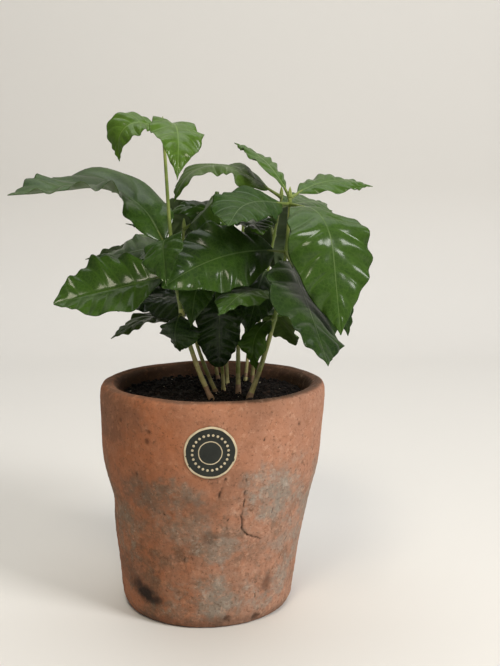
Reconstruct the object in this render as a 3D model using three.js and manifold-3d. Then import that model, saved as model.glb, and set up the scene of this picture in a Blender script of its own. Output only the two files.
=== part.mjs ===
// A young coffee plant in a hand-made terracotta pot: nine slender stems sown together, each with its crown.
// Millimetres, +Z up. The origin is at the middle of the pot's underside, and the plant's front faces -Y.
import * as THREE from 'three';
import { mergeVertices } from 'three/addons/utils/BufferGeometryUtils.js';
import Module from 'manifold-3d';

const wasm = await Module();
wasm.setup();

// The pot: a thick-walled cup, dented where a thumb pressed it, whose rim leans a little to the right. Its
// wall is given as heights with their outer radius.
const POT_HEIGHT = 141.6;
const RIM_RADIUS = 70.3;
const FOOT_RADIUS = 52;
const WALL = 10.5;
const FLOOR_THICKNESS = 12;
const POT_WALL = [[0, FOOT_RADIUS - 2], [1.5, FOOT_RADIUS], [5, 54], [16, 55.6], [27, 56.8], [37, 57.6],
  [48, 59.4], [59, 61.4], [69, 63], [80, 65.3], [90, 67.6], [100, 68.7], [111, 69.3], [122, 69.9],
  [132, RIM_RADIUS]];
const POT_LEAN = 4.5 / POT_HEIGHT;
const POT_SIDES = 48;
const DENT = { heading: 180, height: 68, depth: 2.2, spread: 32, reach: 14 };

// The potting mix fills the pot to a level bed inside the rim, which the stems stand on. Pieces that touch
// are drawn a gap apart.
const SOIL_LEVEL = 133;
const GAP = 0.3;
const FINEST_EDGE = 0.05;
const POT_INSIDE = [[SOIL_LEVEL, RIM_RADIUS - WALL - 0.8], [100, 56.3], [80, 54.8], [30, 46.5],
  [FLOOR_THICKNESS, 45]];

// The round label on the front of the wall.
const LABEL_RADIUS = 15.2;
const LABEL_THICKNESS = 0.5;
const LABEL_HEIGHT = 113;
const LABEL_SHIFT = -1.5;
const LABEL_SIDES = 28;

// Stems, from the soil to the tip.
const STEM_SIDES = 8;
const STEM_TAPER = 0.72;
const STEM_STEPS = 8;
const BUD_LENGTH = 7;

// Leaves: a stalk, then a wavy blade that bends along its midrib.
const STALK_SHARE = 0.1;
const STALK_RADIUS = 0.9;
const STALK_STEPS = 2;
const STALK_GAP = 0.8;
const LEAF_LENGTH = 86;
const LEAF_SLENDERNESS = 0.42;
const LEAF_THICKNESS_SHARE = 1 / 70;
const LEAF_STATIONS = 12;
const BLADE_START = 1;
const LEAF_COLUMNS = [-1, -0.5, 0, 0.5, 1];
const MIDRIB_STEPS = 96;
const EVEN_WAVES = [[3, 0], [3, 0]];
const RIPPLE = 0.045;
const LOBE = 0.04;

// The rule that adds leaves where the photograph does not show them.
const YOUNG_SHARE = 0.95;
const NODE_SHARE = 0.07;
const CLAIM_STATIONS = 16;
const CLAIM_COLUMNS = [-1, -0.67, -0.33, 0, 0.33, 0.67, 1];
const STEM_CLAIMS = 60;
const CLEARANCE = 4;
const TRIES = 60;
const SMALLEST = 0.6;
const SPACE = new THREE.Box3(new THREE.Vector3(-66, -58, 160), new THREE.Vector3(96, 118, 234));
const SEED = 16;

const radians = THREE.MathUtils.degToRad;
const lerp = THREE.MathUtils.lerp;

function finish(colour, roughness) {
  return new THREE.MeshStandardMaterial({ color: colour, roughness, metalness: 0 });
}
const TERRACOTTA = finish(0xa5755a, 0.9);
const SOIL = finish(0x1c1712, 1);
const LABEL = finish(0x2a2c28, 0.5);
const STEM_GREEN = finish(0x7d8449, 0.6);
const LEAF_GREEN = finish(0x3f5a26, 0.35);

// Each stem has its radius at the foot, its foot on the soil, its tip, and the sideways places of its curve a
// third and two thirds of the way up. Its bare part ends at the share crown of its height, where its topmost
// mass of leaves begins. At the shares in pairs grow further opposite leaves, and the first of them is turned
// to the heading first.
const STEMS = [
  { name: 'left_stem', thick: 1.6, foot: [3, -20], tip: [-24, -26, 294], bow: [-22.5, -20], crown: 0.5,
    pairs: [0.475], first: 20 },
  { name: 'left_twin_stem', thick: 1.3, foot: [6, 0], tip: [-12.8, -5, 235], bow: [-9.5, -16], crown: 0.66,
    pairs: [0.5], first: 80 },
  { name: 'right_stem', thick: 1.7, foot: [26.4, -18], tip: [50.8, -15, 254], bow: [42.4, 49.5], crown: 0.92,
    pairs: [0.515, 0.735], first: 60 },
  { name: 'short_front_stem', thick: 1.2, foot: [11, 7], tip: [4, 2, 207], bow: [10, 7], crown: 0.7,
    pairs: [0.5, 1], first: 40 },
  { name: 'middle_back_stem', thick: 1.2, foot: [14, 28], tip: [8, 48, 228], bow: [13, 11], crown: 0.66,
    pairs: [0.38, 0.6, 0.8, 1], first: 20 },
  { name: 'middle_stem', thick: 1.5, foot: [20, -3], tip: [24, 0, 243], bow: [20, 20], crown: 0.55,
    pairs: [0.45], first: 80 },
  { name: 'right_back_stem', thick: 1.3, foot: [30, 28], tip: [48, 15, 254], bow: [33, 41], crown: 0.76,
    pairs: [0.4, 0.6, 0.8], first: 90 },
  { name: 'far_right_stem', thick: 1.2, foot: [26, 34], tip: [42, 62, 222], bow: [29, 34], crown: 0.68,
    pairs: [0.38, 0.6, 0.8, 1], first: 50 },
  { name: 'far_left_stem', thick: 1.2, foot: [8, 42], tip: [-20, 62, 220], bow: [3, -6], crown: 0.68,
    pairs: [0.4, 0.6, 0.8, 1], first: 130 },
];

// Leaves that show from the front, by stem. at is the share of the stem's height and turn the heading in
// degrees from +X. rise is the leaf's first climb, droop how far it bends down and sweep how far it bends
// sideways, all between the two shares of its length in bend. roll and twist tilt the blade, and cup folds
// its halves up or down.
const KNOWN = {
  left_stem: [
    { name: 'top_left', at: 1, turn: 208, rise: 14, droop: 108, sweep: -15, roll: -37,
      twist: 7, long: 45, wide: 24.5, cup: 3, bend: [0.27, 0.8], blunt: -0.04,
      waves: [[2.1, 0.7], [3.5, 0.27]] },
    { name: 'top_right', at: 1, turn: 290, rise: 13, droop: 80, sweep: -26, roll: -1,
      twist: -26, long: 74.8, wide: 29.2, cup: -4, bend: [0.08, 0.93], blunt: -0.19,
      waves: [[2.2, 0.1], [3.9, 0.34]] },
    { name: 'long_left', at: 0.526, turn: 152, rise: 59, droop: 64, sweep: 69, roll: -31,
      twist: 26, long: 126.8, wide: 55.5, cup: 8, bend: [0.2, 0.59], blunt: 0.44,
      waves: [[2.7, 0.72], [5.4, 0.41]] },
    { name: 'near_left', at: 0.6, turn: 257, rise: 7, droop: 68, sweep: 27, roll: 21,
      twist: 25, long: 54, wide: 28, cup: 2, bend: [0.15, 0.8] },
    { name: 'broad_left', at: 0.475, turn: 185, rise: -13, droop: 0, sweep: 5, roll: -41,
      twist: 4, long: 73.6, wide: 50.3, cup: 12, bend: [0.16, 0.84], blunt: 0.51,
      waves: [[3.2, 0.11], [2.7, 0.92]] },
    { name: 'low_left', at: 0.33, turn: 242, rise: -28, droop: 104, sweep: -5, roll: 1,
      twist: 12, long: 28.6, wide: 33.1, cup: -17, bend: [0.06, 0.87], blunt: -0.09,
      waves: [[3.1, 0.01], [2.7, 0.03]] },
  ],
  left_twin_stem: [
    { name: 'small_upright', at: 1, turn: 328, rise: 37, droop: 2, sweep: -25, roll: 41,
      twist: 30, long: 37.8, wide: 31.8, cup: -23, bend: [0.05, 0.86], blunt: -0.09,
      waves: [[3, 0.21], [2.9, 0.84]] },
    { name: 'hidden_upper', at: 0.8, turn: 167, rise: 65, droop: 59, sweep: 4, roll: 4,
      twist: -10, long: 46.2, wide: 17.6, cup: -9, bend: [0.11, 0.82], blunt: -0.4,
      waves: [[1.7, 0.58], [2.1, 0.9]] },
    { name: 'hidden_left', at: 0.72, turn: 148, rise: 41, droop: 54, sweep: 12, roll: -14,
      twist: -17, long: 71.6, wide: 42.5, cup: -7, bend: [0.21, 0.52], blunt: 0.08,
      waves: [[3.1, 0.89], [3.6, 0.97]] },
  ],
  right_stem: [
    { name: 'raised', at: 1, turn: 121, rise: 48, droop: 31, sweep: 6, roll: 18,
      twist: -11, long: 67.8, wide: 19.6, cup: -6, bend: [0.12, 0.79], blunt: 0.09,
      waves: [[2.8, 0.28], [3.6, 0.84]] },
    { name: 'raised_right', at: 1, turn: 27, rise: 29, droop: 44, sweep: -4, roll: 26,
      twist: -9, long: 62.3, wide: 26.3, cup: -10, bend: [0.1, 0.87], blunt: 0.26,
      waves: [[3.1, 0.91], [2.9, 0.79]] },
    { name: 'great_right', at: 0.97, turn: 294, rise: -3, droop: 75, sweep: -2, roll: 0,
      twist: 11, long: 109.9, wide: 49.2, cup: -8, bend: [0.2, 0.58], blunt: 0.19,
      waves: [[3.4, 0.39], [3.1, 0.05]] },
    { name: 'upper_middle', at: 0.97, turn: 223, rise: 6, droop: 30, sweep: 29, roll: -38,
      twist: 30, long: 73.2, wide: 37.8, cup: -6, bend: [0.24, 0.8], blunt: 0.42,
      waves: [[2.8, 0.18], [2.6, 0.87]] },
    { name: 'slanting', at: 0.735, turn: 282, rise: -29, droop: 4, sweep: -4, roll: -37,
      twist: 6, long: 104.7, wide: 54.6, cup: -8, bend: [0.06, 0.9], blunt: 0.14,
      waves: [[3.3, 0.31], [3.2, 0.93]] },
    { name: 'centre', at: 0.735, turn: 214, rise: 6, droop: 34, sweep: -4, roll: -56,
      twist: 8, long: 89.7, wide: 45, cup: -2, bend: [0.11, 0.89], blunt: 0.48,
      waves: [[2.5, 0.8], [3.3, 0.78]] },
    { name: 'bright_middle', at: 0.515, turn: 232, rise: 18, droop: 39, sweep: 7, roll: -9,
      twist: 7, long: 70, wide: 34, cup: -9, bend: [0.15, 0.74], waves: [[3.2, 0.97], [3, 0.79]] },
    { name: 'low_bright', at: 0.4, turn: 223, rise: -9, droop: 102, sweep: -2, roll: 8,
      twist: -2, long: 41, wide: 26, cup: 3, bend: [0.1, 0.85] },
    { name: 'low_right', at: 0.4, turn: 86, rise: 14, droop: 65, sweep: -40, roll: -4,
      twist: 9, long: 44.7, wide: 27.9, cup: -18, bend: [0.15, 0.46], blunt: 0.5,
      waves: [[3.6, 0.24], [3.8, 0.01]] },
  ],
  short_front_stem: [
    { name: 'dark_hanging', at: 0.88, turn: 283, rise: -3, droop: 90, sweep: 0, roll: 0,
      twist: 0, long: 56.5, wide: 29, cup: -6, bend: [0.03, 0.42], blunt: 0.9 },
    { name: 'over_stem', at: 1, turn: 254, rise: -6, droop: 70, sweep: -17, roll: -20,
      twist: -10, long: 56, wide: 22, cup: -6, bend: [0.42, 0.7] },
    { name: 'shadow_left', at: 0.79, turn: 158, rise: -1, droop: 5, sweep: -2, roll: -16,
      twist: -10, long: 54, wide: 36.8, cup: -20, bend: [0.05, 0.9], blunt: -0.3,
      waves: [[2.1, 0.77], [2.2, 0.14]] },
  ],
  middle_back_stem: [
    { name: 'inner_left', at: 1, turn: 195, rise: 29, droop: 26, sweep: -22, roll: 43,
      twist: 27, long: 47.9, wide: 33.7, cup: -6, bend: [0.29, 0.86], blunt: 0.11,
      waves: [[1.9, 0.31], [4.2, 0.27]] },
  ],
  middle_stem: [
    { name: 'small_front', at: 0.96, turn: 274, rise: 16, droop: 34, sweep: 10, roll: 0,
      twist: -3, long: 52.5, wide: 26.7, cup: 2, bend: [0.05, 0.7], blunt: 0.08,
      waves: [[3.6, 0.93], [2.4, 0.29]] },
    { name: 'small_arched', at: 0.8, turn: 164, rise: 60, droop: 94, sweep: -7, roll: -32,
      twist: -8, long: 62.8, wide: 22.1, cup: -13, bend: [0.25, 0.98], blunt: 0.27,
      waves: [[3.2, 0.22], [3.2, 0.92]] },
    { name: 'dark_glossy', at: 0.62, turn: 300, rise: -14, droop: 99, sweep: 26, roll: 5,
      twist: 10, long: 37.9, wide: 30, cup: -11, bend: [0.16, 0.66], blunt: 0.02,
      waves: [[2.8, 0.25], [3, 0.59]] },
  ],
  right_back_stem: [
    { name: 'arched_back', at: 1, turn: 185, rise: 33, droop: 93, sweep: 55, roll: -30,
      twist: 56, long: 90.8, wide: 41.5, cup: -10, bend: [0.28, 0.95], blunt: -0.04,
      waves: [[2.7, 0.26], [3, 0.94]] },
    { name: 'behind_right', at: 0.95, turn: 42, rise: 11, droop: 21, sweep: 16, roll: 20,
      twist: 7, long: 55.2, wide: 34.2, cup: -9, bend: [0.03, 0.98], blunt: 0.1,
      waves: [[2.4, 0.08], [2.8, 0.54]] },
    { name: 'behind_middle', at: 0.8, turn: 103, rise: 39, droop: 100, sweep: -32, roll: -37,
      twist: 13, long: 69.1, wide: 35.6, cup: 12, bend: [0.17, 0.46], blunt: -0.09,
      waves: [[4.4, 0.73], [5.4, 0.36]] },
    { name: 'low_shadow', at: 0.6, turn: 264, rise: 22, droop: 71, sweep: -15, roll: -17,
      twist: -21, long: 71, wide: 27.7, cup: -9, bend: [0.02, 0.56], blunt: -0.28,
      waves: [[1.6, 0.41], [2.9, 0.99]] },
  ],
  far_right_stem: [
    { name: 'edge_right', at: 0.75, turn: 326, rise: 16, droop: 97, sweep: -14, roll: 16,
      twist: -5, long: 93.5, wide: 35.9, cup: -7, bend: [0.2, 0.92], blunt: 0.24,
      waves: [[3, 0.89], [3.5, 0.9]] },
  ],
  far_left_stem: [
    { name: 'grey_left', at: 0.45, turn: 223, rise: 18, droop: 40, sweep: 2, roll: -3,
      twist: 0, long: 82.6, wide: 27.7, cup: -3, bend: [0.09, 0.85], blunt: 0.06,
      waves: [[3.3, 0.91], [3.1, 0.13]] },
    { name: 'behind_left', at: 0.6, turn: 206, rise: 14, droop: 32, sweep: 1, roll: -21,
      twist: -17, long: 70.4, wide: 35.2, cup: 5, bend: [0.2, 0.78], blunt: 0.25,
      waves: [[2.8, 0.17], [3.2, 0.89]] },
    { name: 'behind_upper', at: 0.8, turn: 192, rise: 28, droop: 39, sweep: -8, roll: 5,
      twist: 23, long: 71.8, wide: 24.4, cup: 2, bend: [0.25, 0.75], blunt: 0.05,
      waves: [[3.4, 0.05], [5.6, 0.83]] },
  ],
};

// The same draws each time, so that the plant grows the same way.
function seededRandom(seed) {
  let state = seed;
  return () => {
    state = (state * 16807) % 2147483647;
    return state / 2147483647;
  };
}
const random = seededRandom(SEED);
const draw = (low, high) => low + (high - low) * random();

// Curves of the stems.
function stemCurve(stem) {
  const foot = new THREE.Vector3(stem.foot[0], stem.foot[1], SOIL_LEVEL + GAP);
  const tip = new THREE.Vector3(...stem.tip);
  const low = foot.clone().lerp(tip, 1 / 3).setX(stem.bow[0]);
  const high = foot.clone().lerp(tip, 2 / 3).setX(stem.bow[1]);
  return new THREE.CubicBezierCurve3(foot, low, high, tip);
}

const stemRadius = (stem, share) => stem.thick * lerp(1, STEM_TAPER, share);

// A solid from rings of points, closed by a fan on the first ring and, where no end point is given, on the
// last one too.
function loft(rings, end) {
  const count = rings[0].length;
  const points = end ? [...rings.flat(), end] : rings.flat();
  const faces = [];
  for (let ring = 0; ring + 1 < rings.length; ring += 1) {
    for (let side = 0; side < count; side += 1) {
      const next = (side + 1) % count;
      const low = ring * count;
      const high = low + count;
      faces.push([low + side, low + next, high + next], [low + side, high + next, high + side]);
    }
  }
  const last = (rings.length - 1) * count;
  for (let side = 1; side + 1 < count; side += 1) {
    faces.push([0, side + 1, side]);
  }
  for (let side = end ? 0 : 1; side + (end ? 0 : 1) < count; side += 1) {
    faces.push([end ? points.length - 1 : last, last + side, last + (side + 1) % count]);
  }
  return solid(points, faces);
}

function solid(points, faces) {
  const geometry = new THREE.BufferGeometry().setFromPoints(points);
  geometry.setIndex(faces.flat());
  return fromGeometry(geometry);
}

// A library solid of a closed geometry: shared corners are merged and empty triangles dropped.
function fromGeometry(geometry) {
  geometry.deleteAttribute('normal');
  geometry.deleteAttribute('uv');
  const merged = mergeVertices(geometry, 1e-4);
  const index = merged.getIndex().array;
  const kept = [];
  for (let at = 0; at < index.length; at += 3) {
    const [a, b, c] = index.slice(at, at + 3);
    if (a !== b && b !== c && c !== a) {
      kept.push(a, b, c);
    }
  }
  return new wasm.Manifold(new wasm.Mesh({
    numProp: 3,
    vertProperties: new Float32Array(merged.getAttribute('position').array),
    triVerts: new Uint32Array(kept),
  }));
}

function piece(name, body, material) {
  const mesh = body.simplify(FINEST_EDGE).getMesh();
  const geometry = new THREE.BufferGeometry();
  geometry.setAttribute('position', new THREE.BufferAttribute(new Float32Array(mesh.vertProperties), 3));
  geometry.setIndex(new THREE.BufferAttribute(new Uint32Array(mesh.triVerts), 1));
  geometry.computeVertexNormals();
  const part = new THREE.Mesh(geometry, material);
  part.name = name;
  return part;
}

// The stretch of a stem between two shares of its height, as level rings.
function stemSolid(stem, from, to) {
  const steps = Math.ceil((to - from) * STEM_STEPS) + 1;
  const rings = [];
  for (let step = 0; step <= steps; step += 1) {
    const share = lerp(from, to, step / steps);
    rings.push(levelRing(stem.curve.getPoint(share), stemRadius(stem, share)));
  }
  return loft(rings);
}

function levelRing(centre, radius) {
  return Array.from({ length: STEM_SIDES }, (_, side) => {
    const angle = (side / STEM_SIDES) * 2 * Math.PI;
    return new THREE.Vector3(
      centre.x + radius * Math.cos(angle), centre.y + radius * Math.sin(angle), centre.z);
  });
}

// The closed bud at a stem's tip.
function bud(curve) {
  const tip = curve.getPoint(1);
  const swell = [[-1.5, 0.9], [1.5, 1.35], [0.6 * BUD_LENGTH, 0.9], [BUD_LENGTH, 0.25]];
  return loft(swell.map(([up, radius]) => levelRing(tip.clone().add(new THREE.Vector3(0, 0, up)), radius)));
}

// How much of a leaf's bend is done at a share of its length.
function bent(leaf, share) {
  return THREE.MathUtils.clamp((share - leaf.bend[0]) / (leaf.bend[1] - leaf.bend[0]), 0, 1);
}

// Directions on a leaf at a share of its length: along the midrib, across the blade, and out of its face.
function leafFrame(leaf, share) {
  const done = bent(leaf, share);
  const climb = radians(leaf.rise - leaf.droop * done);
  const heading = radians(leaf.turn + leaf.sweep * done);
  const roll = radians(leaf.roll + leaf.twist * done);
  const along = new THREE.Vector3(
    Math.cos(climb) * Math.cos(heading), Math.cos(climb) * Math.sin(heading), Math.sin(climb));
  const level = new THREE.Vector3(-Math.sin(heading), Math.cos(heading), 0);
  const upright = along.clone().cross(level);
  const across = level.clone().multiplyScalar(Math.cos(roll)).addScaledVector(upright, Math.sin(roll));
  const face = upright.clone().multiplyScalar(Math.cos(roll)).addScaledVector(level, -Math.sin(roll));
  return { along, across, face };
}

// Points along the whole leaf, from its node to its tip.
function midrib(leaf, node) {
  const points = [node.clone()];
  const step = leaf.long / MIDRIB_STEPS;
  for (let at = 0; at < MIDRIB_STEPS; at += 1) {
    const { along } = leafFrame(leaf, (at + 0.5) / MIDRIB_STEPS);
    points.push(points[at].clone().addScaledVector(along, step));
  }
  return points;
}

function onMidrib(points, share) {
  const place = THREE.MathUtils.clamp(share, 0, 1) * MIDRIB_STEPS;
  const low = Math.min(Math.floor(place), MIDRIB_STEPS - 1);
  return points[low].clone().lerp(points[low + 1], place - low);
}

// Half the blade's width at a share of the blade: broad in the middle, drawn out to a thin tip.
function halfWidth(leaf, share) {
  return (leaf.wide / 2) * Math.sin(Math.PI * share ** 0.92) ** (0.75 + (0.65 - (leaf.blunt ?? 0)) * share);
}

// A point of the blade. side runs from -1 to 1 across it, and lift is the height over its middle layer.
function bladePoint(leaf, points, share, side, lift) {
  const along = STALK_SHARE + (1 - STALK_SHARE) * share;
  const { across, face } = leafFrame(leaf, along);
  const cup = radians(leaf.cup);
  const [count, phase] = (leaf.waves ?? EVEN_WAVES)[side < 0 ? 0 : 1];
  const turn = 2 * Math.PI * (count * share + phase);
  const fade = Math.min(1, 4 * Math.min(share, 1 - share));
  const reach = Math.abs(side) * halfWidth(leaf, share) * (1 + LOBE * fade * Math.cos(turn));
  const wave = Math.sin(turn) * fade * RIPPLE * leaf.wide * Math.sign(side) * Math.abs(side) ** 1.5;
  return onMidrib(points, along)
    .addScaledVector(across, Math.sign(side) * reach * Math.cos(cup))
    .addScaledVector(face, reach * Math.sin(cup) + wave + lift);
}

// A leaf as one closed skin from a share of its length on: its rings of corners are round on the stalk, flat on
// the blade, and end in a point at the tip.
function leafSolid(leaf, points, from = 0) {
  const half = leaf.long * LEAF_THICKNESS_SHARE / 2;
  const middle = LEAF_COLUMNS.slice(1, -1);
  const rings = [];
  for (let step = 0; step < STALK_STEPS; step += 1) {
    const share = lerp(from, STALK_SHARE, step / STALK_STEPS);
    const { across, face } = leafFrame(leaf, share);
    const centre = onMidrib(points, share);
    rings.push(Array.from({ length: 2 * LEAF_COLUMNS.length - 2 }, (_, corner) => {
      const angle = Math.PI * (1 - corner / (LEAF_COLUMNS.length - 1));
      return centre.clone()
        .addScaledVector(across, STALK_RADIUS * Math.cos(angle))
        .addScaledVector(face, STALK_RADIUS * Math.sin(angle));
    }));
  }
  for (let station = BLADE_START; station < LEAF_STATIONS; station += 1) {
    const share = station / LEAF_STATIONS;
    const lift = (side) => (Math.abs(side) < 1 ? half * (1 - side * side / 2) : 0);
    rings.push([
      ...LEAF_COLUMNS.map((side) => bladePoint(leaf, points, share, side, lift(side))),
      ...middle.map((side) => bladePoint(leaf, points, share, side, -lift(side))).reverse(),
    ]);
  }
  return loft(rings.map((ring) => ring.reverse()), bladePoint(leaf, points, 1, 0, 0));
}

// The share of a leaf's length at which its stalk is clear of the stem it grows from.
function clearShare(stem, leaf) {
  const { along } = leafFrame(leaf, 0);
  const trunk = stem.curve.getTangent(leaf.at);
  const side = stemRadius(stem, leaf.at) + STALK_GAP + STALK_RADIUS * Math.abs(along.dot(trunk));
  return side / (along.clone().cross(trunk).length() * leaf.long);
}

// Points spread over a leaf or along a stem, with their box, to tell how near things come to each other.
function claim(owner, points) {
  return { owner, points, box: new THREE.Box3().setFromPoints(points) };
}

function claimLeaf(leaf, points) {
  const spread = [];
  for (let station = 1; station <= CLAIM_STATIONS; station += 1) {
    for (const side of CLAIM_COLUMNS) {
      spread.push(bladePoint(leaf, points, station / CLAIM_STATIONS, side, 0));
    }
  }
  return claim(leaf, spread);
}

function claimStem(stem) {
  return claim(stem, stem.curve.getPoints(STEM_CLAIMS));
}

// Whether a new leaf of a stem comes too near to a leaf or a stem that is there already.
function crowds(own, other, stem) {
  const reach = other.owner === stem ? stem.thick + 1 : CLEARANCE + (other.owner.thick ?? 0);
  return own.box.clone().expandByScalar(reach).intersectsBox(other.box)
    && own.points.some((point) => other.points.some((place) => place.distanceTo(point) < reach));
}

// A leaf that the rule adds at a node: longest in the middle of the stem, youngest at the tip.
function ruleLeaf(at, heading, size) {
  const long = LEAF_LENGTH * size * (at > YOUNG_SHARE ? draw(0.6, 0.75) : draw(0.85, 1.1));
  return {
    at,
    turn: heading + draw(-30, 30),
    rise: lerp(12, 34, at) + draw(-8, 8),
    droop: draw(45, 85),
    sweep: draw(-15, 15),
    roll: draw(-18, 18),
    twist: draw(-12, 12),
    long,
    wide: long * LEAF_SLENDERNESS * draw(0.92, 1.08),
    cup: draw(-14, -4),
    bend: [draw(0.05, 0.2), draw(0.75, 0.95)],
  };
}

const turned = (a, b) => Math.abs(((a - b + 540) % 360) - 180);

// All leaves of the plant: first the known ones, then the rule's opposite pairs. A leaf of the rule is
// left out where a known one already grows from its node. Where it would leave the space or crowd another,
// it is drawn again, a little smaller each time, and skipped when the tries run out.
function growLeaves() {
  const grown = [];
  const taken = [];
  for (const stem of STEMS) {
    stem.curve = stemCurve(stem);
    taken.push(claimStem(stem));
    for (const leaf of KNOWN[stem.name] ?? []) {
      const points = midrib(leaf, stem.curve.getPoint(leaf.at));
      grown.push({ stem, leaf, points });
      taken.push(claimLeaf(leaf, points));
    }
  }
  for (const stem of STEMS) {
    stem.pairs.forEach((at, pair) => {
      for (const side of [0, 180]) {
        const heading = stem.first + 90 * pair + side;
        const paired = (KNOWN[stem.name] ?? []).some((known) =>
          Math.abs(known.at - at) < NODE_SHARE && turned(known.turn, heading) < 60);
        for (let go = 0; go < TRIES && !paired; go += 1) {
          const leaf = ruleLeaf(at, heading, lerp(1, SMALLEST, go / TRIES));
          const points = midrib(leaf, stem.curve.getPoint(at));
          const own = claimLeaf(leaf, points);
          if (SPACE.containsBox(own.box) && !taken.some((other) => crowds(own, other, stem))) {
            grown.push({ stem, leaf, points });
            taken.push(own);
            break;
          }
        }
      }
    });
  }
  return grown;
}

// A stem's bare part, the mass of leaves at its top and its single lower leaves.
function plantPieces() {
  const pieces = [];
  const grown = growLeaves();
  for (const stem of STEMS) {
    const base = stem.name.replace('_stem', '');
    const own = grown.filter((entry) => entry.stem === stem);
    const clear = GAP / (stem.tip[2] - SOIL_LEVEL);
    pieces.push(piece(stem.name, stemSolid(stem, 0, stem.crown), STEM_GREEN));
    let mass = stemSolid(stem, stem.crown + clear, 1).add(bud(stem.curve));
    let lower = 0;
    for (const { leaf, points } of own) {
      if (leaf.at > stem.crown) {
        mass = mass.add(leafSolid(leaf, points));
      } else {
        lower += 1;
        const single = leafSolid(leaf, points, clearShare(stem, leaf));
        pieces.push(piece(`${base}_lower_leaf_${lower}`, single, LEAF_GREEN));
      }
    }
    pieces.push(piece(`${base}_leaf_mass`, mass, LEAF_GREEN));
  }
  return pieces;
}

// The pot's outline from the middle of its underside, up the wall, over the lip and down inside to its floor.
function potProfile() {
  const lip = [[138.2, RIM_RADIUS - 0.3], [140.6, RIM_RADIUS - 1.8], [POT_HEIGHT, RIM_RADIUS - 4.6],
    [140.8, RIM_RADIUS - 8], [138, RIM_RADIUS - WALL]];
  return [[0, 0], ...POT_WALL, ...lip, ...POT_INSIDE, [FLOOR_THICKNESS, 0]];
}

// Moves a point of the turned pot to where the leaning, dented pot has it.
function shapePot(point) {
  const heading = THREE.MathUtils.radToDeg(Math.atan2(point.y, point.x));
  const around = turned(heading, DENT.heading) / DENT.spread;
  const height = (point.z - DENT.height) / DENT.reach;
  const pressed = DENT.depth * Math.exp(-around * around - height * height);
  const radius = Math.hypot(point.x, point.y);
  const scale = radius > 1 ? (radius - pressed) / radius : 1;
  return point.set(point.x * scale + POT_LEAN * point.z, point.y * scale, point.z);
}

function turnedBody(profile) {
  const outline = profile.map(([height, radius]) => new THREE.Vector2(radius, height));
  const geometry = new THREE.LatheGeometry(outline, POT_SIDES);
  geometry.rotateX(Math.PI / 2);
  const position = geometry.getAttribute('position');
  const point = new THREE.Vector3();
  for (let at = 0; at < position.count; at += 1) {
    point.fromBufferAttribute(position, at);
    shapePot(point);
    position.setXYZ(at, point.x, point.y, point.z);
  }
  return fromGeometry(geometry);
}

function pot() {
  return piece('pot', turnedBody(potProfile()), TERRACOTTA);
}

function soil() {
  const bottom = FLOOR_THICKNESS + GAP;
  const side = POT_INSIDE.map(([height, radius]) => [Math.max(height, bottom), radius - 2 * GAP]).reverse();
  return piece('soil', turnedBody([[bottom, 0], ...side, [SOIL_LEVEL, 0]]), SOIL);
}

// The outer radius of the pot's wall at a height.
function wallRadius(height) {
  const above = POT_WALL.findIndex(([level]) => level > height);
  const [low, high] = [POT_WALL[above - 1], POT_WALL[above]];
  return lerp(low[1], high[1], (height - low[0]) / (high[0] - low[0]));
}

// The label: a round sheet bent to the wall, with its back a gap away from it.
function label() {
  const corners = [];
  const faces = [];
  const place = (across, up, lift) => {
    const height = LABEL_HEIGHT + up;
    const radius = wallRadius(height) + GAP + 0.15 + lift;
    const heading = -Math.PI / 2 + (across + LABEL_SHIFT) / radius;
    return new THREE.Vector3(
      radius * Math.cos(heading) + POT_LEAN * height, radius * Math.sin(heading), height);
  };
  const rings = 3;
  for (const lift of [0, LABEL_THICKNESS]) {
    corners.push(place(0, 0, lift));
    for (let ring = 1; ring <= rings; ring += 1) {
      for (let side = 0; side < LABEL_SIDES; side += 1) {
        const angle = (side / LABEL_SIDES) * 2 * Math.PI;
        const reach = LABEL_RADIUS * ring / rings;
        corners.push(place(reach * Math.cos(angle), reach * Math.sin(angle), lift));
      }
    }
  }
  const layer = 1 + rings * LABEL_SIDES;
  const onRing = (ring, side) => (ring === 0 ? 0 : 1 + (ring - 1) * LABEL_SIDES + side % LABEL_SIDES);
  const corner = (front, ring, side) => front * layer + onRing(ring, side);
  for (let side = 0; side < LABEL_SIDES; side += 1) {
    for (let ring = 0; ring < rings; ring += 1) {
      for (const front of [0, 1]) {
        const quad = [corner(front, ring, side), corner(front, ring + 1, side),
          corner(front, ring + 1, side + 1), corner(front, ring, side + 1)];
        const [a, b, c, d] = front ? quad : quad.reverse();
        faces.push([a, b, c], [a, c, d]);
      }
    }
    const [a, b] = [corner(0, rings, side), corner(0, rings, side + 1)];
    faces.push([a, b, b + layer], [a, b + layer, a + layer]);
  }
  return piece('label', solid(corners, faces), LABEL);
}

const plant = new THREE.Group();
plant.name = 'potted_coffee_plant';
plant.add(pot(), soil(), label(), ...plantPieces());

export default plant;
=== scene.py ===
"""The looks of a young coffee plant in a hand-made terracotta pot, built around its solid part.

Sizes are in millimetres in the part's own frame, with +Z up, and turn into metres when a mesh is made.
"""

from collections import namedtuple
from itertools import product

import bpy
import numpy as np
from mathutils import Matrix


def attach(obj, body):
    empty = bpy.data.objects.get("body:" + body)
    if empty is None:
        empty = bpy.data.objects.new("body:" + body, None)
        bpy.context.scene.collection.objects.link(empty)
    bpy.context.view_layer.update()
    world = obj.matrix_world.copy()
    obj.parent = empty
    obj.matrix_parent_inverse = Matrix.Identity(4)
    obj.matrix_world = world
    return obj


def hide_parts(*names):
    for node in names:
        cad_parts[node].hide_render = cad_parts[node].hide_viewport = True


MM = 0.001

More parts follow.
